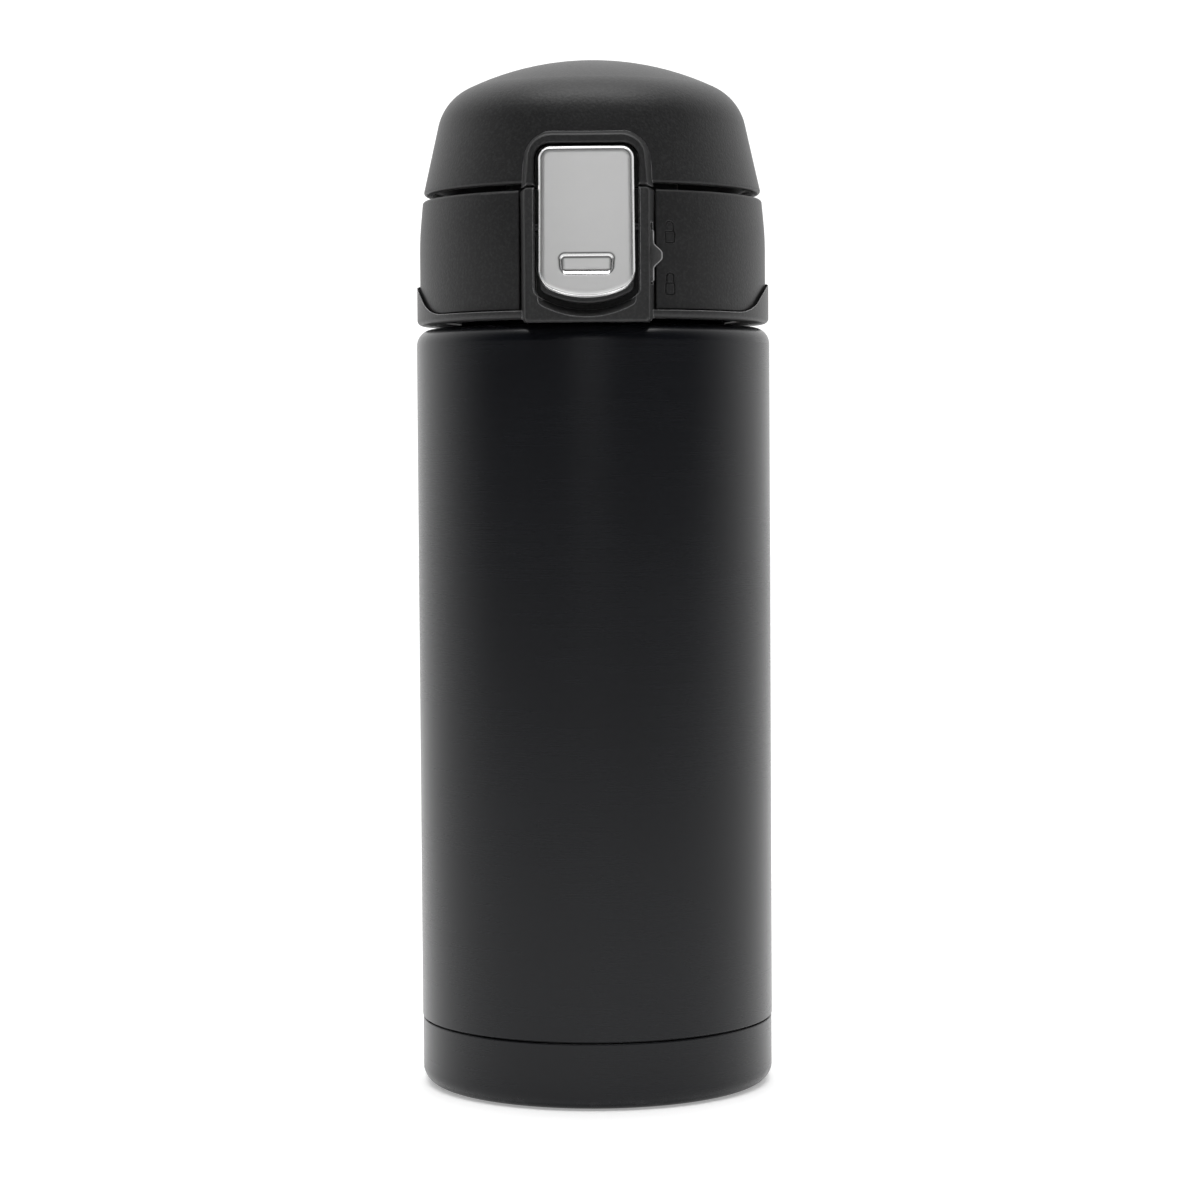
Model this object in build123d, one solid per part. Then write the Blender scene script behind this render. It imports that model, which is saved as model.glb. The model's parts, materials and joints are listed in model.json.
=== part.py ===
from build123d import *
import os
from math import asin, cos, degrees, pi, radians, sin, sqrt, tan

# One-touch vacuum flask, 350 ml.  Millimetres, +Z up, front (button side) towards -Y,
# origin on the table under the middle of the base.

# Steel flask
BODY_R = 33.0            # outside radius of the body
SHELL_WALL = 0.6
CUP_R = 32.9             # outside radius of the base cup
CUP_TOP = 12.2
BODY_LOW = 12.5          # lower edge of the full-width body
FOOT_R = 32.15           # stepped-in foot of the shell, inside the base cup
FOOT_Z = 3.0
SHOULDER_Z = 141.0
SHOULDER_ROUND = 3.0
NECK_R = 24.5
MOUTH_Z = 155.0
LINER_R = 29.6
LINER_WALL = 0.5
LINER_NECK_R = 23.1

# Neck thread
PITCH = 4.0
CREST_HALF = 0.5         # half the ridge's width at its crest
ROOT_HALF = 0.9          # half the ridge's width at its root
NECK_THREAD_Z = 145.5
THREAD_START = 20.0      # angle round Z where both threads begin

# Lid base
SLEEVE_IN = 29.2
SLEEVE_OUT = 30.8
SLEEVE_TOP = 164.2
TRIM_R = 32.85
TRIM_LOW = 141.9
TRIM_FRONT = 143.4       # top of the trim band below the front panels
TRIM_BACK = 149.3        # top of the trim band at the sides and back
PANEL_R = 32.26
PANEL_IN = 30.85
PANEL_TOP = 164.9
PANEL_FRONT_X = 12.1     # front edge of each panel, beside the button frame
INNER_R = 28.4           # outside radius of the threaded inner collar
DECK_Z = 159.0
DECK_TOP = 160.5

# Button frame on the front
FRAME_Y = -34.0
FRAME_HALF = 11.05
FRAME_LOW = 141.2
FRAME_TOP = 165.0
FRAME_DRAFT = 10.0
RECESS_HALF = 9.2
RECESS_TOP = 172.7
RECESS_FLOOR = -29.6     # depth of the recess in the collar
RECESS_LOW = 143.4
BACK_Y = -28.5           # back of the recess wall

# Cap
CAP_LOW = 166.0
CAP_EDGE_R = 31.53
CAP_TOP = 190.9
CAP_DRAFT = degrees(0.2212)
CROWN_R = 53.8
CAP_SHOULDER = 9.8
CAP_WALL = 1.6
CAP_BACK_Y = -30.0       # front of the wall behind the hook

# Button
PLATE_Y = -35.0
PLATE_LOW = 145.45
PLATE_TOP = 172.07
PIVOT_Y = -31.5
PIVOT_Z = 158.0
BUTTON_PIN_R = 0.8

# Hinge at the back
HINGE_Y = 32.0
HINGE_Z = 162.8
KNUCKLE_R = 3.0
HINGE_PIN_R = 1.0
LUG_IN, LUG_OUT = 2.6, 5.6
KNUCKLE_IN, KNUCKLE_OUT = 5.9, 9.5

# Lock slider, on the right side of the button frame
SLOT_X = 10.6
SLOT_FRONT, SLOT_BACK = -32.5, -30.3
SLOT_LOW, SLOT_HIGH = 147.9, 158.9

# Spout
SPOUT_TOP = 178.5
SPOUT_BORE = 13.5

FAR = 80.0               # reach of a cutting block beyond the flask


def turned(*points):
    """Solid turned about the Z axis; each point is (radius, height, corner radius)."""
    corners = [(r, z) for r, z, _ in points]
    outline = FilletPolyline(*corners, radius=[c for _, _, c in points], close=True)
    return revolve(Plane.XZ * make_face(outline), Axis.Z)


def block(x, y, z):
    """Box between the limits given as (low, high) along each axis."""
    size = Box(x[1] - x[0], y[1] - y[0], z[1] - z[0])
    return Pos((x[0] + x[1]) / 2, (y[0] + y[1]) / 2, (z[0] + z[1]) / 2) * size


def rod(radius, half_length, y, z):
    """Round bar lying along X, centred on the middle plane."""
    return Pos(0, y, z) * Rot(0, 90, 0) * Cylinder(radius, 2 * half_length)


def front(y):
    """Upright plane at depth y, facing the front, with X to the right and Z up."""
    return Plane(origin=(0, y, 0), x_dir=(1, 0, 0), z_dir=(0, -1, 0))


def carried(outline, y_front, y_back):
    """Front outline carried straight back from y_front to y_back."""
    return extrude(front(y_back) * outline, y_back - y_front)


def side_plate(x, outline):
    """Outline in Y and Z, carried across between two X limits."""
    return extrude(Plane.YZ.offset(x[0]) * outline, x[1] - x[0])


def polygon(*points):
    return make_face(Polyline(*points, close=True))


def shield(half_low, half_top, low, top, sag_radius, low_round, top_round):
    """Shield outline: straight top and sides, and a bottom that is an arc lowest in the middle."""
    sides = polygon((-half_low, low), (half_low, low), (half_top, top), (-half_top, top))
    outline = (sides & Pos(0, low + sag_radius) * Circle(sag_radius)).face()
    upper = [v for v in outline.vertices() if v.Y > (low + top) / 2]
    outline = fillet(upper, top_round)
    lower = [v for v in outline.vertices() if v.Y < (low + top) / 2 and abs(v.X) > half_low / 2]
    return fillet(lower, low_round)


def thread_ridge(root_r, crest_r, z_start, turns):
    """Right-handed trapezoidal ridge round the Z axis; its root is sunk into the wall."""
    sunk = root_r - 0.3 if crest_r > root_r else root_r + 0.3
    path = Pos(0, 0, z_start) * Helix(PITCH, PITCH * turns, root_r)
    section = polygon(
        (sunk, z_start - ROOT_HALF),
        (root_r, z_start - ROOT_HALF),
        (crest_r, z_start - CREST_HALF),
        (crest_r, z_start + CREST_HALF),
        (root_r, z_start + ROOT_HALF),
        (sunk, z_start + ROOT_HALF),
    )
    return Rot(0, 0, THREAD_START) * sweep(Plane.XZ * section, path=path, is_frenet=True)


def coil(mean_r, wire_r, pitch, turns):
    """Round wire wound about the Z axis, starting on the +X side at height 0."""
    path = Helix(pitch, pitch * turns, mean_r)
    section = Plane(origin=path @ 0, z_dir=path % 0) * Circle(wire_r)
    return sweep(section, path=path, is_frenet=True)


def dome(inset, low, foot_round=0):
    """Solid under a surface that lies the given distance inside the cap's outside."""
    slope = tan(radians(CAP_DRAFT))
    edge_r = CAP_EDGE_R - inset / cos(radians(CAP_DRAFT))
    foot_r = edge_r - (low - CAP_LOW) * slope
    high = CAP_TOP + 5
    high_r = edge_r - (high - CAP_LOW) * slope
    wedge = polygon((0, low), (foot_r, low), (high_r, high), (0, high))
    crown = Pos(0, CAP_TOP - CROWN_R) * Circle(CROWN_R - inset)
    profile = (wedge & crown).face()
    corner = [v for v in profile.vertices() if v.X > 1 and v.Y > low + 5]
    profile = fillet(corner, CAP_SHOULDER - inset)
    if foot_round:
        foot = [v for v in profile.vertices() if v.X > 1 and v.Y < low + 0.1]
        profile = fillet(foot, foot_round)
    return revolve(Plane.XZ * profile, Axis.Z)


# ---------------------------------------------------------------- steel flask

def outer_shell():
    """Painted steel skin: foot, straight body, rounded shoulder and threaded neck."""
    inside = BODY_R - SHELL_WALL
    neck_in = NECK_R - SHELL_WALL
    skin = turned(
        (FOOT_R - SHELL_WALL, FOOT_Z, 0),
        (FOOT_R, FOOT_Z, 0),
        (FOOT_R, BODY_LOW, 0),
        (BODY_R, BODY_LOW, 0.25),
        (BODY_R, SHOULDER_Z, SHOULDER_ROUND),
        (NECK_R, SHOULDER_Z + 0.45, 1.2),
        (NECK_R, MOUTH_Z, 0.2),
        (neck_in, MOUTH_Z, 0),
        (neck_in, SHOULDER_Z - 0.15, 1.8),
        (inside, SHOULDER_Z - 0.6, 2.4),
        (inside, BODY_LOW + SHELL_WALL, 0),
        (FOOT_R - SHELL_WALL, BODY_LOW + SHELL_WALL, 0),
    )
    return skin + thread_ridge(NECK_R, NECK_R + 1.0, NECK_THREAD_Z, 1.5)


def liner():
    """Inner steel wall with its cone and flared lip, welded to the shell at the mouth."""
    neck_in = LINER_NECK_R - LINER_WALL
    inside = LINER_R - LINER_WALL
    lip = NECK_R - SHELL_WALL
    return turned(
        (LINER_R, 8.0, 0),
        (LINER_R, 132.5, 3.0),
        (LINER_NECK_R, 139.4, 3.0),
        (LINER_NECK_R, 153.3, 0.4),
        (lip, 154.3, 0.3),
        (lip, MOUTH_Z, 0),
        (lip - LINER_WALL, MOUTH_Z, 0),
        (lip - LINER_WALL, 154.1, 0.3),
        (neck_in, 153.1, 0.4),
        (neck_in, 139.15, 2.6),
        (inside, 132.2, 2.6),
        (inside, 8.0, 0),
    )


def liner_bottom():
    """Dished steel disc with a turned-down flange that closes the liner."""
    edge = LINER_R - LINER_WALL
    return turned(
        (0, 8.9, 0),
        (24.0, 9.5, 4.0),
        (edge - LINER_WALL, 9.5, 0.3),
        (edge - LINER_WALL, 8.0, 0),
        (edge, 8.0, 0),
        (edge, 10.0, 0.7),
        (24.0, 10.0, 4.0),
        (0, 9.4, 0),
    )


def shell_bottom():
    """Steel disc that closes the shell, with a sunk middle round the pumping hole."""
    edge = FOOT_R - SHELL_WALL
    return turned(
        (1.0, 4.6, 0),
        (4.6, 4.6, 0.4),
        (6.0, 5.4, 0.4),
        (edge - SHELL_WALL, 5.4, 0.5),
        (edge - SHELL_WALL, FOOT_Z, 0),
        (edge, FOOT_Z, 0),
        (edge, 6.0, 1.1),
        (5.8, 6.0, 0.4),
        (4.4, 5.2, 0.4),
        (1.0, 5.2, 0),
    )


def vacuum_seal():
    """Bead that plugs the pumping hole."""
    return turned((0, 3.8, 0), (1.9, 3.8, 0.5), (2.6, 4.6, 0), (1.0, 4.6, 0), (1.0, 5.2, 0), (0, 5.2, 0))


def getter():
    """Gas-absorbing pill inside the vacuum space."""
    pill = turned((0, 6.0, 0), (4.0, 6.0, 0.3), (4.0, 7.5, 0.3), (0, 7.5, 0))
    return Pos(14.0, 0, 0) * pill


def foil_wrap():
    """Copper foil wound round the liner against radiated heat."""
    return turned((LINER_R, 15.0, 0), (LINER_R + 0.2, 15.0, 0), (LINER_R + 0.2, 128.0, 0), (LINER_R, 128.0, 0))


def base_cup():
    """Steel cup over the foot, with a raised middle inside its standing ring."""
    wall = 0.7
    return turned(
        (0, 1.0, 0),
        (22.5, 1.0, 1.0),
        (24.0, 0, 1.0),
        (CUP_R, 0, 3.0),
        (CUP_R, CUP_TOP, 0.25),
        (CUP_R - wall, CUP_TOP, 0),
        (CUP_R - wall, wall, 2.3),
        (24.3, wall, 1.0),
        (22.8, 1.0 + wall, 1.0),
        (0, 1.0 + wall, 0),
    )


# ---------------------------------------------------------------- lid base

def neck_seal():
    """Silicone ring between the mouth and the spout's flange."""
    return turned((21.6, 155.05, 0.3), (24.3, 155.05, 0.5), (24.3, 157.0, 0.5), (21.6, 157.0, 0.3))


def front_window(gap):
    """Space above the trim band's low front edge, between the two slanting side edges."""
    low = TRIM_FRONT + gap
    side_low = 29.56 - gap * 0.55
    side_high = TRIM_R - gap * 0.55
    rise = (TRIM_BACK - TRIM_FRONT) / (TRIM_R - 29.56)
    top = TRIM_BACK + 30
    top_x = side_high + 30 / rise
    outline = polygon((-side_low, low), (side_low, low), (top_x, top), (-top_x, top))
    lower = [v for v in outline.vertices() if v.Y < low + 1]
    return carried(fillet(lower, 4.5), -FAR, 0)


def follows_outside(edge, radius):
    """True where the whole edge lies at least the given distance from the Z axis."""
    return min(sqrt((edge @ t).X ** 2 + (edge @ t).Y ** 2) for t in (0.1, 0.5, 0.9)) > radius


def trim_band():
    """Band round the collar's foot, low in front and high at the sides and back."""
    inner = SLEEVE_OUT - 0.5
    band = turned((inner, TRIM_LOW, 0), (TRIM_R, TRIM_LOW, 1.0), (TRIM_R, TRIM_BACK, 0.4), (inner, TRIM_BACK, 0))
    return band - front_window(0)


def trim_space(gap):
    """Everything at or below the trim band's stepped upper edge."""
    band = block((-FAR, FAR), (-FAR, FAR), (TRIM_LOW - 5, TRIM_BACK + gap))
    return band - front_window(gap)


def panel_ring(inner_r, low):
    """Ring with the panels' slightly leaning outside and rounded top edge."""
    return turned(
        (inner_r, low, 0),
        (PANEL_R, low, 0),
        (PANEL_R, 158.0, 60.0),
        (31.62, PANEL_TOP, 0.6),
        (inner_r, PANEL_TOP, 0),
    )


def button_frame():
    """Drafted frame round the button: two posts and a bottom bar, with rounded corners and edges."""
    outline = Pos(0, (FRAME_LOW + FRAME_TOP) / 2) * Rectangle(2 * FRAME_HALF, FRAME_TOP - FRAME_LOW)
    frame = extrude(front(FRAME_Y) * outline, FRAME_Y - BACK_Y, taper=-FRAME_DRAFT)
    frame &= block((-FAR, FAR), (-FAR, FAR), (FRAME_LOW, FRAME_TOP))
    corners = [e for e in frame.edges() if abs((e @ 0.5).X) > FRAME_HALF - 0.1 and abs((e % 0.5).Y) > 0.9]
    frame = fillet(corners, 0.8)
    frame = fillet(front_edges(frame), 0.5)
    return frame - block((-FAR, FAR), (-31.0, 0), (FRAME_LOW - 1, TRIM_LOW))


def front_edges(solid):
    """Edges that lie in the frame's front plane."""
    return solid.edges().filter_by_position(Axis.Y, FRAME_Y - 0.01, FRAME_Y + 0.01)


def recess(half, low, y_back):
    """Shield-shaped well for the button, open to the front."""
    return carried(shield(half, half, low, RECESS_TOP, 17.0, 1.5, 2.7), FRAME_Y - 4, y_back)


def scoop():
    """Bevel under the button, for the fingertip."""
    depth = 1.3
    outline = shield(8.7, 8.7, RECESS_LOW - depth, 152.0, 17.0, 1.2, 1.0)
    return extrude(front(FRAME_Y) * outline, -depth, taper=45)


def recess_mouth():
    """Narrow bevel round the front edge of the well."""
    bevel = 0.3
    half = RECESS_HALF + bevel
    outline = shield(half, half, RECESS_LOW, RECESS_TOP, 17.0, 1.5, 2.7)
    return extrude(front(FRAME_Y) * outline, -bevel, taper=45)


def hinge_posts():
    """Two knuckles on the collar that carry the hinge pin."""
    web = polygon((29.4, HINGE_Z), (HINGE_Y + KNUCKLE_R, HINGE_Z), (32.1, 153.5), (29.4, 153.5))
    knuckle = Pos(HINGE_Y, HINGE_Z) * Circle(KNUCKLE_R)
    posts = Part()
    for x in ((-KNUCKLE_OUT, -KNUCKLE_IN), (KNUCKLE_IN, KNUCKLE_OUT)):
        posts += side_plate(x, web) + side_plate(x, knuckle)
    return posts


def hinge_notch():
    """Room in the collar's back for the cap's lugs and the spring."""
    swing = rod(KNUCKLE_R + 0.5, KNUCKLE_IN, HINGE_Y, HINGE_Z)
    return swing + block((-KNUCKLE_IN, KNUCKLE_IN), (28.4, 37), (HINGE_Z, 168))


def lock_slot():
    """Slot for the slider in the right post, and the slit for its inner tab."""
    slot = block((SLOT_X, 14), (SLOT_FRONT, SLOT_BACK), (SLOT_LOW, SLOT_HIGH))
    slit = block((RECESS_HALF - 1, SLOT_X + 0.1), (-31.9, -30.9), (149.0, 152.8))
    return slot + slit


def collar():
    """Moulded body of the lid: sleeve, trim band, button frame and hinge knuckles."""
    sleeve = turned(
        (SLEEVE_IN, TRIM_LOW, 0.3),
        (SLEEVE_OUT, TRIM_LOW, 0),
        (SLEEVE_OUT, SLEEVE_TOP, 0.3),
        (SLEEVE_IN, SLEEVE_TOP, 0.3),
    )
    back = panel_ring(SLEEVE_OUT - 0.5, TRIM_BACK - 1) & block((-9.6, 9.6), (0, FAR), (140, 170))
    body = sleeve + trim_band() + back + button_frame()
    body += block((-RECESS_HALF - 0.5, RECESS_HALF + 0.5), (RECESS_FLOOR, BACK_Y), (142.2, FRAME_TOP))
    body -= recess(RECESS_HALF, RECESS_LOW, RECESS_FLOOR)
    body -= scoop() + recess_mouth()
    body -= hinge_notch()
    body += hinge_posts()
    body -= rod(HINGE_PIN_R, KNUCKLE_OUT + 1, HINGE_Y, HINGE_Z)
    body -= rod(BUTTON_PIN_R, 10.4, PIVOT_Y, PIVOT_Z)
    return body - lock_slot()


def side_panel(right):
    """Curved cover from the button frame round to the hinge, on one side."""
    gap = 0.12
    ring = panel_ring(PANEL_IN, TRIM_FRONT) - trim_space(gap)
    ring -= carried(Rectangle(2 * PANEL_FRONT_X, FAR * 5), -FAR, 0)
    ring -= block((-9.8, 9.8), (0, FAR), (100, 200))
    half = (0, FAR) if right else (-FAR, 0)
    panel = ring & block(half, (-FAR, FAR), (100, 200))
    rim = [e for e in panel.edges() if follows_outside(e, PANEL_R - 0.12) and (e @ 0.5).Z < PANEL_TOP - 1]
    return fillet(rim, 0.25)


def padlock(opened):
    """Line symbol of a padlock: a body and a bow, whose left leg is left off when open."""
    line, width, height, bow_r, bow_y = 0.32, 2.1, 2.3, 0.85, 0.95
    body = RectangleRounded(width, height, 0.4)
    body -= RectangleRounded(width - 2 * line, height - 2 * line, 0.15)
    bow = Circle(bow_r) - Circle(bow_r - line)
    bow &= Pos(0, 0.5) * Rectangle(4, 1.0)
    leg = Rectangle(line, bow_y)
    leg_x = bow_r - line / 2
    symbol = Pos(0, -height / 2) * body + Pos(0, bow_y) * bow + Pos(leg_x, bow_y / 2) * leg
    if opened:
        return symbol
    return symbol + Pos(-leg_x, bow_y / 2) * leg


def right_panel():
    """Right cover, with the two padlock symbols pressed into it beside the slider."""
    chord = 14.7
    angle = asin(chord / PANEL_R)
    panel = side_panel(True)
    for z, opened in ((157.55, True), (148.35, False)):
        foot = (PANEL_R * sin(angle), -PANEL_R * cos(angle), z)
        plane = Plane(origin=foot, x_dir=(cos(angle), sin(angle), 0), z_dir=(sin(angle), -cos(angle), 0))
        panel -= extrude(plane * padlock(opened), 0.3, both=True)
    return panel


def inner_collar():
    """Threaded ring with a deck that holds the spout down on the mouth."""
    ring = turned(
        (26.0, 142.5, 0.3),
        (INNER_R, 142.5, 0.3),
        (INNER_R, 158.3, 0),
        (SLEEVE_IN - 0.05, DECK_Z, 0),
        (SLEEVE_IN - 0.05, DECK_TOP, 0.3),
        (18.5, DECK_TOP, 0.5),
        (18.5, DECK_Z, 0.3),
        (26.0, DECK_Z, 0.3),
    )
    ring += thread_ridge(26.0, 25.0, NECK_THREAD_Z - PITCH / 2, 2.0)
    return ring - block((-20, 20), (-FAR, BACK_Y + 0.05), (140, 170))


def spout():
    """Drinking spout: plug skirt in the neck, clamping flange and tapering mouthpiece."""
    return turned(
        (19.8, 146.0, 0),
        (21.4, 146.0, 0.5),
        (21.4, 157.05, 0),
        (25.5, 157.05, 0.3),
        (25.5, 158.9, 0.3),
        (16.8, 158.9, 1.5),
        (15.1, SPOUT_TOP, 0.7),
        (SPOUT_BORE, SPOUT_TOP, 0.7),
        (SPOUT_BORE, 158.5, 2.5),
        (19.8, 155.5, 1.5),
    )


def hinge_pin():
    return rod(HINGE_PIN_R, KNUCKLE_OUT, HINGE_Y, HINGE_Z)


def cap_spring():
    """Torsion spring round the hinge pin, one leg on the collar and one under the cap."""
    mean_r, wire_r, pitch, turns = 1.9, 0.3, 0.85, 4.46
    leg = 4.0
    wire = coil(mean_r, wire_r, pitch, turns)
    wire += Pos(mean_r, -1.35, 0) * Rot(90, 0, 0) * Cylinder(wire_r, 2.7)
    end = 2 * pi * turns
    foot = Vector(mean_r * cos(end), mean_r * sin(end), pitch * turns)
    way = Vector(-sin(end), cos(end), 0)
    wire += Plane(origin=foot + way * (leg / 2), z_dir=way) * Cylinder(wire_r, leg)
    return Pos(-pitch * turns / 2, HINGE_Y, HINGE_Z) * Rot(0, 90, 0) * wire


def button_pin():
    return rod(BUTTON_PIN_R, 10.4, PIVOT_Y, PIVOT_Z)


def button_spring():
    """Return spring behind the lower end of the button."""
    wire_r, turns = 0.25, 3.0
    length = 2.5
    spring = coil(1.75, wire_r, length / turns, turns)
    return Pos(0, RECESS_FLOOR - wire_r, 147.6) * Rot(90, 0, 0) * spring


# ---------------------------------------------------------------- cap

def arch():
    """Raised, drafted arch on the cap, carrying the button frame's line over the top."""
    half_low, half_top, low, top = 10.8, 10.0, 165.3, 174.35
    outline = polygon((-half_low, low), (half_low, low), (half_top, top), (-half_top, top))
    upper = [v for v in outline.vertices() if v.Y > top - 1]
    outline = fillet(upper, 4.2)
    solid = extrude(front(FRAME_Y) * outline, FRAME_Y - BACK_Y, taper=-FRAME_DRAFT)
    return solid & block((-FAR, FAR), (-FAR, FAR), (low, 200))


def cap_lugs():
    """Two lugs that hang the cap on the hinge pin."""
    web = polygon((29.75, HINGE_Z), (34.9, HINGE_Z), (33.6, 166.3), (31.2, 168.8), (29.75, 168.8))
    knuckle = Pos(HINGE_Y, HINGE_Z) * Circle(KNUCKLE_R)
    lugs = Part()
    for x in ((-LUG_OUT, -LUG_IN), (LUG_IN, LUG_OUT)):
        lugs += side_plate(x, web) + side_plate(x, knuckle)
    return lugs - rod(HINGE_PIN_R + 0.06, LUG_OUT + 1, HINGE_Y, HINGE_Z)


def cap_cover():
    """Domed cap with the arch round the button's upper half and the ledge for its hook."""
    shell = dome(0, CAP_LOW, foot_round=0.6) + arch()
    shell -= dome(CAP_WALL, CAP_LOW)
    shell -= block((-FAR, FAR), (BACK_Y + 0.1, 0), (CAP_LOW - 2, CAP_LOW))
    back_wall = block((-RECESS_HALF - 1.5, RECESS_HALF + 1.5), (CAP_BACK_Y, BACK_Y), (CAP_LOW, 173.8))
    shell += back_wall & dome(0, CAP_LOW)
    shell -= recess(RECESS_HALF, RECESS_LOW, CAP_BACK_Y)
    shell = fillet(front_edges(shell), 0.5)
    ledge = polygon((CAP_BACK_Y + 0.5, 166.5), (-30.6, 166.5), (-31.0, 166.9), (-31.0, 168.3), (CAP_BACK_Y + 0.5, 168.3))
    shell += side_plate((-5.0, 5.0), ledge)
    return shell + cap_lugs()


def cap_liner():
    """Inner wall of the cap with a floor and a ring that grips the stopper seal."""
    gap, wall = 0.1, 1.2
    low, floor, top = 166.8, 181.4, 182.6
    liner = dome(CAP_WALL + gap, low) & block((-FAR, FAR), (-FAR, FAR), (low, top))
    liner -= dome(CAP_WALL + gap + wall, low) & block((-FAR, FAR), (-FAR, FAR), (low - 1, floor))
    liner += turned((16.2, 177.9, 0.2), (17.6, 177.9, 0.4), (17.6, floor + 0.4, 0), (16.2, floor + 0.4, 0))
    return liner - block((-20, 20), (-FAR, BACK_Y + 0.1), (160, 176))


def stopper_seal():
    """Silicone disc that closes the spout, with a shallow groove over the rim."""
    return turned(
        (0, 178.65, 0),
        (16.1, 178.65, 0.6),
        (16.1, 181.4, 0.2),
        (0, 181.4, 0),
    )


# ---------------------------------------------------------------- button and lock

def button_plate():
    """Metal face of the button with a bevelled rim and a pressed thumb step."""
    bevel = 0.45
    plate = carried(shield(8.6, 8.4, PLATE_LOW, PLATE_TOP, 15.75, 1.7, 2.0), PLATE_Y, FRAME_Y)
    rim = plate.faces().sort_by(Axis.Y)[0].edges()
    plate = chamfer(rim, bevel)
    step_half, step_low, step_top, step_depth = 4.65, 149.6, 153.2, 0.65
    wedge = polygon((PLATE_Y - 1, step_low - 0.4), (PLATE_Y, step_low), (PLATE_Y + step_depth, step_top - 0.7),
                    (PLATE_Y + step_depth, step_top - 0.3), (PLATE_Y, step_top), (PLATE_Y - 1, step_top))
    return plate - side_plate((-step_half, step_half), wedge)


def button_body():
    """Moulded rocker under the plate: finger end, pin boss, spring pocket, arm and hook."""
    back = -31.3
    outline = shield(8.4, 8.2, PLATE_LOW - 0.95, PLATE_TOP - 0.2, 16.2, 1.7, 1.9)
    rocker = carried(outline, FRAME_Y, back)
    rocker = fillet(front_edges(rocker), 0.4)
    rocker -= block((-FAR, FAR), (-32.4, back + 1), (160.2, 200))
    boss = rod(1.7, 8.2, PIVOT_Y, PIVOT_Z)
    nose = polygon((-32.6, 168.8), (-31.15, 169.0), (-31.15, 169.7), (-32.6, 171.4))
    rocker += boss + side_plate((-5.0, 5.0), nose)
    rocker -= rod(BUTTON_PIN_R + 0.05, 9.0, PIVOT_Y, PIVOT_Z)
    pocket = Pos(0, -31.6, 147.6) * Rot(90, 0, 0) * Cylinder(2.3, 2.0)
    return rocker - pocket


def lock_slider():
    """Sliding catch with a rounded thumb bump outside and a tab reaching into the recess."""
    inner, outer, peak = SLOT_X + 0.1, 11.9, 13.4
    low, high, middle = 148.3, 157.5, 152.93
    outline = polygon(
        (inner, low), (outer, low), (outer, 150.9), (peak, middle - 0.55),
        (peak, middle + 0.55), (outer, 154.95), (outer, high), (inner, high),
    )
    bump = [v for v in outline.vertices() if v.X > peak - 0.1]
    outline = fillet(bump, 0.7)
    foot = [v for v in outline.vertices() if abs(v.X - outer) < 0.1 and 149 < v.Y < 156]
    outline = fillet(foot, 0.7)
    ends = [v for v in outline.vertices() if abs(v.X - outer) < 0.1 and not 149 < v.Y < 156]
    outline = fillet(ends, 0.35)
    slider = carried(outline, SLOT_FRONT + 0.15, SLOT_BACK - 0.15)
    slider = fillet([e for e in slider.edges() if (e @ 0.5).X > outer - 0.9], 0.25)
    return slider + block((9.0, inner + 0.1), (-31.8, -31.0), (149.2, 151.2))


def parts():
    yield "outer_shell", outer_shell()
    yield "liner", liner()
    yield "liner_bottom", liner_bottom()
    yield "shell_bottom", shell_bottom()
    yield "vacuum_seal", vacuum_seal()
    yield "getter", getter()
    yield "foil_wrap", foil_wrap()
    yield "base_cup", base_cup()
    yield "neck_seal", neck_seal()
    yield "collar", collar()
    yield "left_panel", side_panel(False)
    yield "right_panel", right_panel()
    yield "inner_collar", inner_collar()
    yield "spout", spout()
    yield "hinge_pin", hinge_pin()
    yield "cap_spring", cap_spring()
    yield "button_pin", button_pin()
    yield "button_spring", button_spring()
    yield "cap_cover", cap_cover()
    yield "cap_liner", cap_liner()
    yield "stopper_seal", stopper_seal()
    yield "button_plate", button_plate()
    yield "button_body", button_body()
    yield "lock_slider", lock_slider()


os.makedirs("parts", exist_ok=True)
for name, solid in parts():
    export_step(solid, f"parts/{name}.step")
    print(name, len(solid.solids()), round(solid.volume, 1), solid.is_valid)
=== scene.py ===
import json
from math import pi, radians

import bmesh
import bpy
import numpy as np
from mathutils import Matrix, Vector


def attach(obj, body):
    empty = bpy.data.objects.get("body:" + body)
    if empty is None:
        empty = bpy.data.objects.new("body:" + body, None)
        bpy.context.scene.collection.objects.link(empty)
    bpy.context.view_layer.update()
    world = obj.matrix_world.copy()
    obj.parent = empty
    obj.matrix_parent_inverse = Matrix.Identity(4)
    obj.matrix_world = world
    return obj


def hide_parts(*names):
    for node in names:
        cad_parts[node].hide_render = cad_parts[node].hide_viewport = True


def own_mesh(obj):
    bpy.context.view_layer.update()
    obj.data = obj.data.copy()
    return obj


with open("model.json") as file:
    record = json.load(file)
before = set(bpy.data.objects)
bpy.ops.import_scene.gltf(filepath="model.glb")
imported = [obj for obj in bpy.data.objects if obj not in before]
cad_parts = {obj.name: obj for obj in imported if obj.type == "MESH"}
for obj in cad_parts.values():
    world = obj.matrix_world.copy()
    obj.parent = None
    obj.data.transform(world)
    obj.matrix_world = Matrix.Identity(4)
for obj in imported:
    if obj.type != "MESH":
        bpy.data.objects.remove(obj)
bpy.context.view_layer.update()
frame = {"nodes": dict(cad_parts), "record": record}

MM = 0.001


# ---------------------------------------------------------------- node trees

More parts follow.
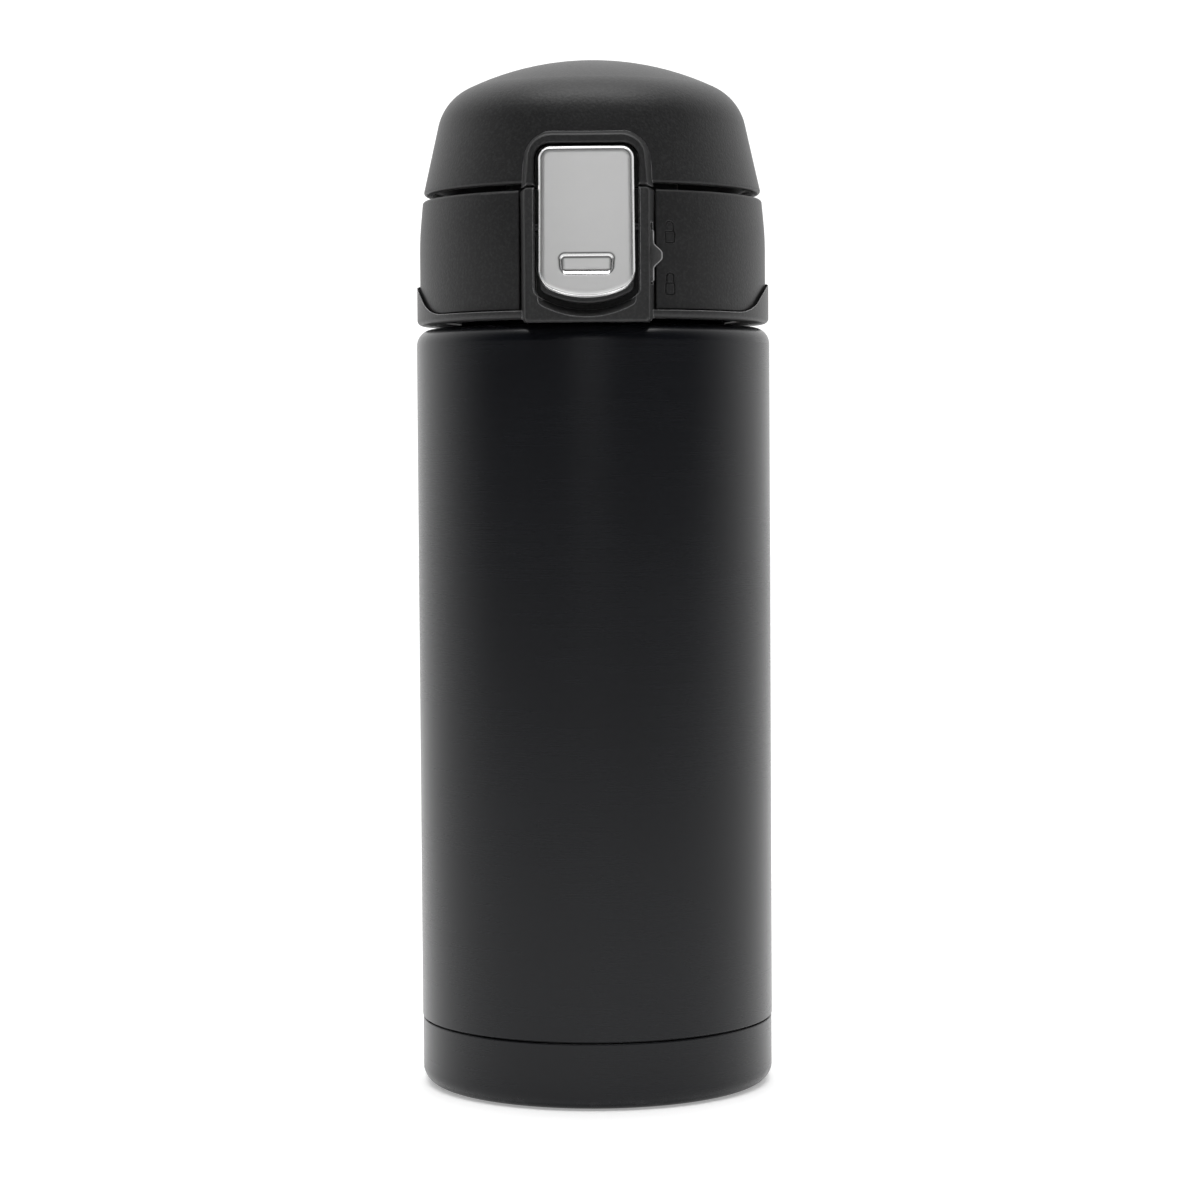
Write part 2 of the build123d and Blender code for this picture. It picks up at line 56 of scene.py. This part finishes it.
class Value:
    """A value in a node tree; Python's operators on it add Math nodes."""

    def __init__(self, tree, socket):
        self.tree, self.socket = tree, socket

    def math(self, operation, *others):
        return self.tree.node("ShaderNodeMath", {"operation": operation}, *others)

    def __add__(self, other):
        return self.math("ADD", self, other)

    def __sub__(self, other):
        return self.math("SUBTRACT", self, other)

    def __mul__(self, other):
        return self.math("MULTIPLY", self, other)

    def __radd__(self, other):
        return self.math("ADD", other, self)

    def __rsub__(self, other):
        return self.math("SUBTRACT", other, self)

    def __rmul__(self, other):
        return self.math("MULTIPLY", other, self)

    def step(self, low, high, first=0.0, last=1.0):
        """The first value below low, the last above high, and a smooth S-curve between them."""
        settings = {"interpolation_type": "SMOOTHSTEP"}
        return self.tree.node("ShaderNodeMapRange", settings, self, low, high, first, last)

    def smaller(self, other):
        return self.math("MINIMUM", self, other)

    def larger(self, other):
        return self.math("MAXIMUM", self, other)


class Tree:
    """The node tree of a material or a world."""

    def __init__(self, owner):
        owner.use_nodes = True
        self.nodes, self.links = owner.node_tree.nodes, owner.node_tree.links
        self.nodes.clear()

    def feed(self, socket, value):
        """Links a Value to a socket, or writes a plain value or colour into it."""
        if isinstance(value, Value):
            self.links.new(value.socket, socket)
        else:
            socket.default_value = (*value, 1.0) if socket.type == "RGBA" else value

    def node(self, kind, settings=None, *values, output=0, **named):
        """Adds a node: its settings first, then its inputs by position and by name.
        Positions count only the sockets that the settings leave in use."""
        added = self.nodes.new(kind)
        for key, setting in (settings or {}).items():
            setattr(added, key, setting)
        inputs = [socket for socket in added.inputs if socket.enabled]
        for socket, value in zip(inputs, values):
            self.feed(socket, value)
        for key, value in named.items():
            self.feed(added.inputs[key], value)
        outputs = added.outputs
        if not isinstance(output, str):
            outputs = [socket for socket in outputs if socket.enabled]
        return Value(self, outputs[output]) if outputs else None


class Finish(Tree):
    """One surface finish: a material and the few calls that build its node tree."""

    def __init__(self, name):
        self.material = bpy.data.materials.new(name)
        super().__init__(self.material)
        self.surface = self.node("ShaderNodeBsdfPrincipled")
        self.node("ShaderNodeOutputMaterial", None, self.surface)
        place = self.node("ShaderNodeTexCoord", output="Object")
        self.place = self.node("ShaderNodeVectorMath", {"operation": "SCALE"}, place, Scale=1 / MM)

    def axis(self, name):
        """The place on the piece along X, Y or Z, in millimetres."""
        return self.node("ShaderNodeSeparateXYZ", None, self.place, output=name)

    def stretched(self, x, y, z):
        """The place on the piece in millimetres, scaled by a different amount along each axis."""
        return self.node("ShaderNodeVectorMath", {"operation": "MULTIPLY"}, self.place, (x, y, z))

    def noise(self, size, detail=2.0, rough=0.5, place=None):
        """Cloudy noise from 0 to 1 whose blotches are about the given size in millimetres."""
        inputs = {"Scale": 1 / size, "Detail": detail, "Roughness": rough}
        return self.node("ShaderNodeTexNoise", None, place or self.place, **inputs)

    def grains(self, size, place=None):
        """Distance to the nearest of many scattered points, about the given size apart."""
        return self.node("ShaderNodeTexVoronoi", None, place or self.place, Scale=1 / size)

    def mask(self, name):
        """A mask that the piece carries as an attribute on its points."""
        return self.node("ShaderNodeAttribute", {"attribute_name": name}, output="Fac")

    def blend(self, amount, first, second):
        """Colour that goes from first to second as the amount goes from 0 to 1."""
        return self.node("ShaderNodeMix", {"data_type": "RGBA"}, amount, first, second)

    def set(self, **inputs):
        """Feeds the surface shader; underscores in a name stand for spaces."""
        for key, value in inputs.items():
            self.feed(self.surface.socket.node.inputs[key.replace("_", " ")], value)

    def softened(self, radius):
        """Normal with the edges rounded over to the given radius in millimetres."""
        return self.node("ShaderNodeBevel", {"samples": 4}, radius * MM)

    def relief(self, height, depth, soft_edge=None):
        """Bumps of the given depth in millimetres, laid over a softened normal if one is given."""
        inputs = {"Strength": 1.0, "Distance": depth * MM, "Height": height}
        if soft_edge is not None:
            inputs["Normal"] = soft_edge
        self.set(Normal=self.node("ShaderNodeBump", None, **inputs))


# ---------------------------------------------------------------- finishes

def powder_coat():
    """Matte black coating on the steel: fine orange peel, faint turned grain, lighter worn foot."""
    f = Finish("powder_coat")
    peel = f.noise(0.55, 3.0, 0.6)
    grain = f.noise(1.0, 2.0, 0.5, f.stretched(0.05, 0.05, 2.2))
    cloud = f.noise(28.0, 3.0, 0.55)
    low_rim = 1 - f.axis("Z").step(0.2, 2.6)
    scuff = f.noise(1.7, 4.0, 0.65).step(0.52, 0.72)
    tone = (0.22 * grain + 0.55 * cloud + 0.23 * peel).step(0.25, 0.75)
    coat = f.blend(tone, (0.0033, 0.0037, 0.0052), (0.0056, 0.0062, 0.0082))
    coat = f.blend(low_rim * scuff * 0.5, coat, (0.055, 0.055, 0.058))
    f.set(Base_Color=coat, Roughness=0.23 + 0.03 * grain + 0.05 * cloud + 0.12 * scuff * low_rim)
    f.set(Specular_IOR_Level=0.29)
    f.relief(0.7 * peel + 0.3 * grain, 0.007)
    return f.material


def textured_plastic(name, dark, light, shine, soft_edge, painted_edge_light):
    """Moulded plastic with a fine spark-eroded texture, faint flow clouds and a painted highlight along
    its edges, broken into patches. The edge is found where the softened normal leaves the true one."""
    f = Finish(name)
    texture = f.noise(0.40, 3.0, 0.7)
    pits = f.grains(0.48)
    cloud = f.noise(14.0, 3.0, 0.5)
    speck = f.noise(0.55, 3.0, 0.6).step(0.42, 0.68)
    tone = 0.55 * speck + 0.45 * cloud
    soft = f.softened(soft_edge)
    true = f.node("ShaderNodeNewGeometry", output="Normal")
    lean = f.node("ShaderNodeVectorMath", {"operation": "DOT_PRODUCT"}, soft, true, output="Value")
    # Painted highlight along the edges, broken into patches.
    edge_highlight = (1 - lean).step(0.01, 0.16) * (0.55 + 0.45 * f.noise(2.5, 3.0, 0.6).step(0.25, 0.7))
    colour = f.blend(edge_highlight, f.blend(tone, dark, light), (painted_edge_light, painted_edge_light, 1.01 * painted_edge_light))
    f.set(Base_Color=colour, Roughness=shine + 0.12 * texture + 0.06 * cloud)
    f.relief(0.55 * texture + 0.45 * pits, 0.038, soft)
    f.set(Specular_IOR_Level=0.30)
    return f.material


def smooth_plastic(name, dark, light, shine):
    """Plain moulded plastic inside the lid: almost smooth, with faint flow marks."""
    f = Finish(name)
    flow = f.noise(9.0, 3.0, 0.5, f.stretched(1.0, 1.0, 0.4))
    fine = f.noise(0.4, 2.0, 0.5)
    f.set(Base_Color=f.blend(flow, dark, light), Roughness=shine + 0.12 * flow)
    f.relief(0.5 * fine + 0.5 * flow, 0.008, f.softened(0.10))
    return f.material


def slider_plastic():
    """Moulded plastic of the lock catch, with a painted highlight along its rim, broken into patches."""
    f = Finish("slider_plastic")
    fine = f.noise(0.35, 3.0, 0.6)
    patch = 0.6 + 0.4 * f.noise(1.2, 3.0, 0.6).step(0.3, 0.7)
    base = f.blend(fine, (0.010, 0.010, 0.0105), (0.020, 0.020, 0.0205))
    # Painted highlight along the rim, from the mask the catch carries.
    colour = f.blend(f.mask("painted_edge_light") * patch, base, (0.42, 0.42, 0.424))
    f.set(Base_Color=colour, Roughness=0.30 + 0.15 * fine)
    f.relief(fine, 0.015)
    return f.material


def satin_plate():
    """Satin silver face: bead-blasted field, painted shade in the creases, and hairlines on the polished
    rim, which is lightened as a painted highlight.
    """
    f = Finish("satin_plate")
    polish_and_highlight, painted_shade = f.mask("polish_and_highlight"), f.mask("painted_shade")
    blast = f.noise(0.16, 2.0, 0.6)
    cloud = f.noise(5.0, 3.0, 0.5)
    hair = f.noise(0.5, 3.0, 0.6, f.stretched(1.0, 1.0, 0.15))
    field = f.blend(cloud, (0.73, 0.73, 0.73), (0.79, 0.79, 0.785))
    # The polished rim is lightened as a painted highlight, and the thumb step's lip and wall get painted
    # highlights too.
    unshaded = f.blend(polish_and_highlight, field, (0.95, 0.95, 0.95))
    # Painted shade darkens the creases of the thumb step and the furrow inside the bevel.
    f.set(Base_Color=f.blend(painted_shade.smaller(0.92), unshaded, (0.05, 0.05, 0.05)), Metallic=1.0)
    field_shine, rim_shine = 0.25 + 0.06 * cloud + 0.05 * blast, 0.10 + 0.08 * hair
    f.set(Roughness=field_shine * (1 - polish_and_highlight) + rim_shine * polish_and_highlight)
    f.relief(blast * (1 - polish_and_highlight), 0.004)
    return f.material


def drawn_steel(name, dark, light, shine):
    """Bare drawn steel: turned lines round the axis, with patchy shine."""
    f = Finish(name)
    lines = f.noise(0.6, 3.0, 0.6, f.stretched(0.08, 0.08, 2.0))
    patch = f.noise(11.0, 3.0, 0.5)
    f.set(Base_Color=f.blend(0.5 * lines + 0.5 * patch, dark, light), Metallic=1.0)
    f.set(Roughness=shine + 0.14 * lines + 0.08 * patch)
    f.relief(lines, 0.006, f.softened(0.05))
    return f.material


def silicone():
    """Grey silicone: soft sheen, a little dust, and faint mould texture."""
    f = Finish("silicone")
    dust = f.noise(0.8, 4.0, 0.7).step(0.45, 0.8)
    fine = f.noise(0.3, 2.0, 0.5)
    colour = f.blend(dust, (0.12, 0.125, 0.13), (0.19, 0.195, 0.20))
    f.set(Base_Color=colour, Roughness=0.55 + 0.2 * dust)
    f.relief(fine, 0.010, f.softened(0.15))
    return f.material


def copper_foil():
    """Thin crinkled copper foil."""
    f = Finish("copper_foil")
    crinkle = f.grains(5.0, f.stretched(1.0, 1.0, 0.6))
    tint = f.noise(12.0, 3.0, 0.5)
    f.set(Base_Color=f.blend(tint, (0.75, 0.36, 0.22), (0.86, 0.50, 0.34)), Metallic=1.0)
    f.set(Roughness=0.22 + 0.15 * crinkle)
    f.relief(crinkle, 0.15)
    return f.material


CHARCOAL = (0.011, 0.011, 0.0115), (0.026, 0.026, 0.0265)
PALE_CHARCOAL = (0.017, 0.017, 0.0175), (0.036, 0.036, 0.0365)

FINISHES = {
    "matte_black_paint": powder_coat(),
    "black_plastic": textured_plastic("charcoal_plastic", *CHARCOAL, 0.35, 0.28, 0.30),
    "inner_plastic": smooth_plastic(
        "inner_plastic", (0.018, 0.018, 0.019), (0.028, 0.028, 0.029), 0.32),
    "spout_plastic": smooth_plastic(
        "spout_plastic", (0.030, 0.030, 0.031), (0.045, 0.045, 0.046), 0.25),
    "silicone": silicone(),
    "steel": drawn_steel("drawn_steel", (0.52, 0.51, 0.49), (0.68, 0.67, 0.65), 0.22),
    "spring_steel": drawn_steel("spring_steel", (0.50, 0.50, 0.50), (0.66, 0.66, 0.66), 0.20),
    "copper_foil": copper_foil(),
    "solder": smooth_plastic("sealing_glass", (0.10, 0.10, 0.11), (0.18, 0.18, 0.19), 0.18),
    "getter": smooth_plastic("getter_powder", (0.14, 0.14, 0.14), (0.22, 0.22, 0.21), 0.60),
    "silver_plate": satin_plate(),
}
PANEL_PLASTIC = textured_plastic("panel_plastic", *CHARCOAL, 0.35, 0.12, 0.09)
OWN_FINISHES = {
    "collar": textured_plastic("frame_plastic", *PALE_CHARCOAL, 0.32, 0.30, 0.50),
    "left_panel": PANEL_PLASTIC,
    "right_panel": PANEL_PLASTIC,
    # The pin's steel is painted near-black as painted shade, for its ends in the gaps beside the plate.
    "button_pin": drawn_steel(
        "pin_steel_painted_shade", (0.030, 0.030, 0.032), (0.055, 0.055, 0.057), 0.30),
}

for part in frame["record"]["subparts"]:
    finish = OWN_FINISHES.get(part["node"], FINISHES[part["material_slot"]])
    for place in frame["nodes"][part["node"]].material_slots:
        place.link = "OBJECT"
        place.material = finish


# ---------------------------------------------------------------- surface tools

def ease(value, low, high):
    """S-curve 3t^2 - 2t^3, where t goes from 0 at low to 1 at high."""
    t = np.clip((value - low) / (high - low), 0, 1)
    return t * t * (3 - 2 * t)


def bell(value, middle, width):
    """Soft bump exp(-((value - middle) / width)^2)."""
    return np.exp(-(((value - middle) / width) ** 2))


def sewn(rows, columns, around_columns=False):
    """Quads of a grid of points; the columns may close on themselves."""
    index = np.arange(rows * columns).reshape(rows, columns)
    if around_columns:
        index = np.concatenate([index, index[:, :1]], 1)
    quads = np.stack([index[:-1, :-1], index[1:, :-1], index[1:, 1:], index[:-1, 1:]], -1)
    return quads.reshape(-1, 4)


def backed(front, back_y):
    """Closed slab from a front sheet (rows x columns x 3): the same sheet flattened at back_y
    is its back, and a strip of quads round the edge joins the two."""
    rows, columns = front.shape[:2]
    back = front.copy()
    back[..., 1] = back_y
    index = np.arange(rows * columns).reshape(rows, columns)
    ring = np.concatenate([index[0, :-1], index[:-1, -1], index[-1, :0:-1], index[:0:-1, 0]])
    after, far = np.roll(ring, -1), rows * columns
    quads = sewn(rows, columns)
    edge = np.stack([ring, ring + far, after + far, after], -1)
    return np.concatenate([front, back]), np.concatenate([quads[:, ::-1], quads + far, edge[:, ::-1]])


def add_piece(name, points, quads, slot, body, stands_for, crease, finish=None, masks=None):
    """Turns points in millimetres and quads into a smooth piece that faces outwards, in the
    slot's own finish unless another is given. The crease is the angle in degrees from which
    an edge stays sharp."""
    points = points.reshape(-1, 3)
    a, b, c, d = (points[quads[:, k]] for k in range(4))
    volume = (np.einsum("ij,ij->i", a, np.cross(b, c)).sum()
              + np.einsum("ij,ij->i", a, np.cross(c, d)).sum())
    if volume < 0:
        quads = quads[:, ::-1]
    mesh = bpy.data.meshes.new(name)
    mesh.from_pydata((points * MM).tolist(), [], quads.tolist())
    for key, mask in (masks or {}).items():
        layer = mesh.attributes.new(key, "FLOAT", "POINT")
        layer.data.foreach_set("value", mask.astype(np.float32).ravel())
    joined = bmesh.new()
    joined.from_mesh(mesh)
    bmesh.ops.remove_doubles(joined, verts=joined.verts, dist=1e-7)
    joined.to_mesh(mesh)
    joined.free()
    mesh.validate()
    mesh.polygons.foreach_set("use_smooth", np.ones(len(mesh.polygons), bool))
    mesh.set_sharp_from_angle(angle=radians(crease))
    mesh.materials.append(finish or FINISHES[slot])
    piece = bpy.data.objects.new(name, mesh)
    bpy.context.scene.collection.objects.link(piece)
    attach(piece, body)
    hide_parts(stands_for)
    return piece


# ---------------------------------------------------------------- button

class Shield:
    """Upright plate outline: straight sides, a level top and an arched foot, with rounded corners."""

    def __init__(self, half_top, half_foot, low, top, arch, top_round, foot_round):
        self.half_top, self.half_foot = half_top, half_foot
        self.low, self.top, self.arch = low, top, arch
        self.top_round, self.foot_round = top_round, foot_round

    def side(self, z):
        """Half width at a height; the sides taper evenly from foot to top."""
        share = (z - self.low) / (self.top - self.low)
        return self.half_foot + (self.half_top - self.half_foot) * share

    def spread(self, across, up):
        """Point (x, z) for two parameters: x runs from side to side with across, and z from the
        arched foot to the top with up, both denser at their ends. Within a corner of radius r the
        top or foot draws in by r - sqrt(r^2 - (r - gap)^2), where gap is the distance to the side."""
        corner_height, crowding = 2.0, 0.35
        side = np.sin(across * pi / 2)
        half_low = self.side(self.low + corner_height)
        x_foot, x_top = side * half_low, side * self.half_top

        def drawn_in(radius, gap):
            return radius - np.sqrt(np.maximum(radius**2 - np.maximum(radius - gap, 0) ** 2, 0))

        top = self.top - drawn_in(self.top_round, self.half_top - np.abs(x_top))
        rise = drawn_in(self.foot_round, half_low - np.abs(x_foot))
        foot = self.low + self.arch - np.sqrt((self.arch - rise) ** 2 - x_foot**2)
        t = crowding * (0.5 - 0.5 * np.cos(up * pi)) + (1 - crowding) * up
        z = foot + (top - foot) * t
        return side * self.side(z), z

    def inside(self, x, z):
        """Distance in from the outline: the least of the gaps to side, top and arch, and in a
        corner of radius r, r minus the distance to the corner's centre."""
        to_side, to_top = self.side(z) - np.abs(x), self.top - z
        to_arch = self.arch - np.hypot(x, z - self.low - self.arch)
        gap = np.minimum(np.minimum(to_side, to_top), to_arch)
        for radius, other in ((self.top_round, to_top), (self.foot_round, to_arch)):
            corner = radius - np.hypot(radius - to_side, radius - other)
            gap = np.where((to_side < radius) & (other < radius), corner, gap)
        return gap


class ThumbStep:
    """Hollow pressed into the foot of the plate: rounded above, open and shallow at its lip."""

    top, corner, wall = 153.28, 1.1, 0.55
    half_width = [149.6, 150.6, 153.2], [4.25, 4.80, 4.95]
    profile = [149.40, 149.66, 150.02, 150.28, 150.55, 153.3], [0.0, 0.03, 0.31, 0.42, 0.455, 0.53]

    def __init__(self, x, z):
        """Measures the gap from each point to the hollow's ends and to its rounded outline."""
        self.z = z
        self.to_end, to_top = np.interp(z, *self.half_width) - np.abs(x), self.top - z
        in_corner = (self.to_end < self.corner) & (to_top < self.corner)
        round_gap = self.corner - np.hypot(self.corner - self.to_end, self.corner - to_top)
        self.gap = np.where(in_corner, round_gap, np.minimum(self.to_end, to_top))

    def depth(self):
        """The profile in z, smoothed by a short window, times an S-curve in from the outline."""
        heights = np.linspace(148.6, 154.4, 581)
        window = np.hanning(15)
        smooth = np.convolve(np.interp(heights, *self.profile), window / window.sum(), "same")
        return np.interp(self.z, heights, smooth, 0, 0) * ease(self.gap, 0.0, self.wall)

    def painted_shade_lines(self):
        """Painted shade: bells along the outline and along the foot of the wall, fading out towards the
        lip.
        """
        level = ease(self.z, 149.8, 151.2) * (0.55 + 0.45 * ease(self.z, 151.8, 152.6))
        return level * (bell(self.gap, 0.0, 0.17) + 0.95 * bell(self.gap, 0.68, 0.21))

    def painted_highlight_lines(self):
        """Painted highlights: bands along the lip and along the wall, each with S-curves at both its
        sides.
        """
        lip = ease(self.z, 149.3, 149.5) * (1 - ease(self.z, 150.1, 150.3)) * ease(self.to_end, 0.0, 0.3)
        wall = ease(self.gap, 0.02, 0.15) * (1 - ease(self.gap, 0.4, 0.6)) * ease(self.z, 149.8, 151.2)
        return np.maximum(lip, wall) * 0.8


def button_face():
    """Sheet over the shield outline, y = front + crown + edge + crease + roll + thumb step.
    The crown falls with x^2, the edge drops evenly over the bevel, the crease is a bell just
    inside it, and the roll is an S-curve further in."""
    outline = Shield(half_top=8.4, half_foot=8.6, low=145.45, top=172.07, arch=15.75,
                     top_round=2.1, foot_round=1.8)
    front, bevel, thickness, rolled = -35.0, 0.35, 1.0, 1.2
    across, up = np.meshgrid(np.linspace(-1, 1, 151), np.linspace(0, 1, 311), indexing="ij")
    x, z = outline.spread(across, up)
    gap = outline.inside(x, z)
    thumb = ThumbStep(x, z)
    furrow = bell(gap, bevel + 0.12, 0.09)
    crown = 0.12 * (x / outline.half_foot) ** 2
    edge = 0.42 * np.clip(1 - gap / bevel, 0, 1)
    roll = 0.06 * (1 - ease(gap, bevel, rolled))
    y = front + crown + edge + 0.04 * furrow + roll + thumb.depth()
    points, quads = backed(np.stack([x, y, z], -1), front + thickness)
    # Painted shade for the creases; the polished rim plus painted highlights on the thumb step's lip and
    # wall.
    painted_shade = thumb.painted_shade_lines() + 0.38 * furrow
    polish_and_highlight = np.maximum(1 - ease(gap, bevel + 0.02, bevel + 0.12), thumb.painted_highlight_lines())
    masks = {"polish_and_highlight": np.concatenate([polish_and_highlight, polish_and_highlight]), "painted_shade": np.concatenate([painted_shade, painted_shade])}
    add_piece("button_face", points, quads, "silver_plate", "button", "button_plate", 60, masks=masks)


def return_spring():
    """Coil behind the button's lower end. Its centre line is (R cos t, y - p t / 2 pi, z + R sin t),
    and round it the wire is r (cos s times outward + sin s times the third direction)."""
    coil_r, wire_r, turns, length = 1.75, 0.25, 3.0, 2.5
    seat, height = -29.85, 147.6
    t = np.linspace(0, 2 * pi * turns, 181)
    s = np.linspace(0, 2 * pi, 16, endpoint=False)
    rise = length / (2 * pi * turns)
    outward = np.stack([np.cos(t), 0 * t, np.sin(t)], -1)
    middle = coil_r * outward + np.stack([0 * t, seat - rise * t, height + 0 * t], -1)
    along = np.stack([-coil_r * np.sin(t), -rise + 0 * t, coil_r * np.cos(t)], -1)
    along /= np.linalg.norm(along, axis=1, keepdims=True)
    third = np.cross(along, outward)
    wire = middle[:, None] + wire_r * (
        np.cos(s)[None, :, None] * outward[:, None] + np.sin(s)[None, :, None] * third[:, None])
    ends = np.repeat(middle[[0, -1]][:, None], len(s), 1)
    points = np.concatenate([ends[:1], wire, ends[1:]])
    quads = sewn(len(points), len(s), around_columns=True)
    spring = add_piece("return_spring", points, quads, "spring_steel", "lid_base", "button_spring", 80)
    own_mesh(spring)


button_face()
return_spring()


# ---------------------------------------------------------------- lock

def box_round(turn, half_x, half_y, round_off):
    """Closed loop (x, y) for a rectangle with rounded corners: a circle of the corner's radius,
    with each quarter of the turn pushed out to its own corner."""
    quarter = np.floor(turn / (pi / 2))
    right = np.where((quarter == 0) | (quarter == 3), 1, -1)
    upper = np.where(quarter < 2, 1, -1)
    x = round_off * np.cos(turn) + right * (half_x - round_off)
    y = round_off * np.sin(turn) + upper * (half_y - round_off)
    return x, y


def lock_catch():
    """Rounded rectangle carried up the slot. Its outer side stands out by 1.5 S-curve(|z - middle|),
    a soft bell for the thumb, and both ends draw in along a quarter circle. A small flat tab
    behind it holds it in the slot."""
    inner, outer, bump, low, high, middle, end = 10.7, 11.9, 1.5, 148.3, 157.42, 152.93, 0.35
    front, back, loop_half, loop_round = -32.42, -30.45, 1.0, 0.30
    z = np.concatenate([low + end * (1 - np.cos(np.linspace(0, pi / 2, 8))),
                        np.linspace(low + end, high - end, 150)[1:-1],
                        high - end * (1 - np.cos(np.linspace(pi / 2, 0, 8)))])
    near = np.minimum(z - low, high - z)
    cut = end - np.sqrt(np.maximum(end**2 - np.maximum(end - near, 0) ** 2, 0))
    side = outer + bump * (1 - ease(np.abs(z - middle), 0.35, 2.35)) - cut
    open_up = np.concatenate([[0], np.ones(len(z)), [0]])[:, None]
    z = np.concatenate([z[:1], z, z[-1:]])
    side = np.concatenate([side[:1], side, side[-1:]])
    turn = np.linspace(0, 2 * pi, 48, endpoint=False)
    x, y = box_round(turn, loop_half, (back - front) / 2, loop_round)
    half = (side[:, None] - inner) / 2
    across = inner + half + open_up * (x + np.sign(x) * (half - loop_half))
    deep = (front + back) / 2 + open_up * y
    points = np.stack([across, deep, np.repeat(z[:, None], len(turn), 1)], -1)
    quads = sewn(len(z), len(turn), around_columns=True)
    # Mask for a painted highlight along the loop's front outer edge.
    painted_edge_light = np.repeat(bell(turn, 1.75 * pi, 0.5)[None, :], len(z), 0)
    tab_x, tab_z = np.meshgrid([9.0, 10.8], [149.2, 151.2], indexing="ij")
    tab, tab_quads = backed(np.stack([tab_x, 0 * tab_x - 31.8, tab_z], -1), -31.0)
    quads = np.concatenate([quads, tab_quads + len(z) * len(turn)])
    points = np.concatenate([points.reshape(-1, 3), tab.reshape(-1, 3)])
    painted_edge_light = np.concatenate([painted_edge_light.ravel(), np.zeros(tab.size // 3)])
    add_piece("lock_catch", points, quads, "black_plastic", "lock", "lock_slider", 35,
              slider_plastic(), {"painted_edge_light": painted_edge_light})


lock_catch()


# ---------------------------------------------------------------- camera, floor and lights

def aim(obj, place, target):
    """Puts an object at a place in metres, with its -Z axis towards the target."""
    way = Vector(target) - Vector(place)
    obj.matrix_world = Matrix.Translation(place) @ way.to_track_quat("-Z", "Y").to_matrix().to_4x4()


def studio_camera():
    """Camera in front of the flask, a little above its middle, turned slightly to the right."""
    distance, eye, across = 604.1 * MM, 118.6 * MM, 0.974 * MM
    orbit, tilt, roll = radians(1.65), radians(2.679), radians(-0.378)
    data = bpy.data.cameras.new("camera")
    data.lens, data.sensor_width = 96.4, 36.0
    data.clip_start, data.clip_end = 0.02, 20.0
    camera = bpy.data.objects.new("camera", data)
    bpy.context.scene.collection.objects.link(camera)
    camera.matrix_world = (
        Matrix.Rotation(orbit, 4, "Z") @ Matrix.Translation((across, -distance, eye))
        @ Matrix.Rotation(pi / 2 - tilt, 4, "X") @ Matrix.Rotation(roll, 4, "Z")
    )
    bpy.context.scene.camera = camera


def softbox(name, place, target, size, power):
    """Rectangular studio light."""
    data = bpy.data.lights.new(name, "AREA")
    data.shape, (data.size, data.size_y) = "RECTANGLE", size
    data.energy = power
    light = bpy.data.objects.new(name, data)
    bpy.context.scene.collection.objects.link(light)
    aim(light, place, target)


def daylight(strength, spread):
    """Even light from straight above, from a disc as wide as the spread in degrees."""
    data = bpy.data.lights.new("overhead", "SUN")
    data.energy, data.angle = strength, radians(spread)
    light = bpy.data.objects.new("overhead", data)
    bpy.context.scene.collection.objects.link(light)


def floor():
    """Pale floor that is one flat sheet, a grid of points at height 0. It glows less in front."""
    reach, count = 3.0, 9
    line = np.linspace(-reach, reach, count)
    x, y = np.meshgrid(line, line, indexing="ij")
    mesh = bpy.data.meshes.new("floor")
    mesh.from_pydata(np.stack([x, y, 0 * x], -1).reshape(-1, 3).tolist(), [], sewn(count, count).tolist())
    sheet = bpy.data.objects.new("floor", mesh)
    bpy.context.scene.collection.objects.link(sheet)
    f = Finish("white_sweep")
    glow = f.blend(f.axis("Y").step(-700.0, -150.0), (0.0, 0.0, 0.0), (1.0, 1.0, 1.0))
    f.set(Base_Color=(0.9, 0.9, 0.9), Roughness=0.6, Emission_Color=glow, Emission_Strength=0.32)
    mesh.materials.append(f.material)


def surroundings():
    """Studio air: white to the eye, and in reflections white behind the flask and dim in front."""
    front_end, back_end, front_level, back_level = -0.45, 0.55, 0.015, 1.2
    world = bpy.data.worlds.new("studio")
    bpy.context.scene.world = world
    air = Tree(world)
    direction = air.node("ShaderNodeTexCoord", output="Generated")
    towards_back = air.node("ShaderNodeSeparateXYZ", None, direction, output="Y")
    level = towards_back.step(front_end, back_end, front_level, back_level)
    to_eye = air.node("ShaderNodeLightPath", output="Is Camera Ray")
    light = air.node("ShaderNodeBackground", None, (1.0, 1.0, 1.0), level.larger(to_eye))
    air.node("ShaderNodeOutputWorld", None, light)


studio_camera()
floor()
surroundings()
daylight(0.55, 60)
softbox("top", (0.0, 0.45, 1.25), (0.0, 0.15, 0.0), (2.2, 1.5), 5.0)
softbox("floor_wash", (0.0, -0.17, 0.62), (0.0, -0.20, 0.0), (0.5, 0.24), 1.8)
softbox("front_card", (0.0, -0.64, 0.245), (0.0, -0.035, 0.16), (0.24, 0.14), 0.122)
bpy.context.scene.view_settings.view_transform = "Standard"
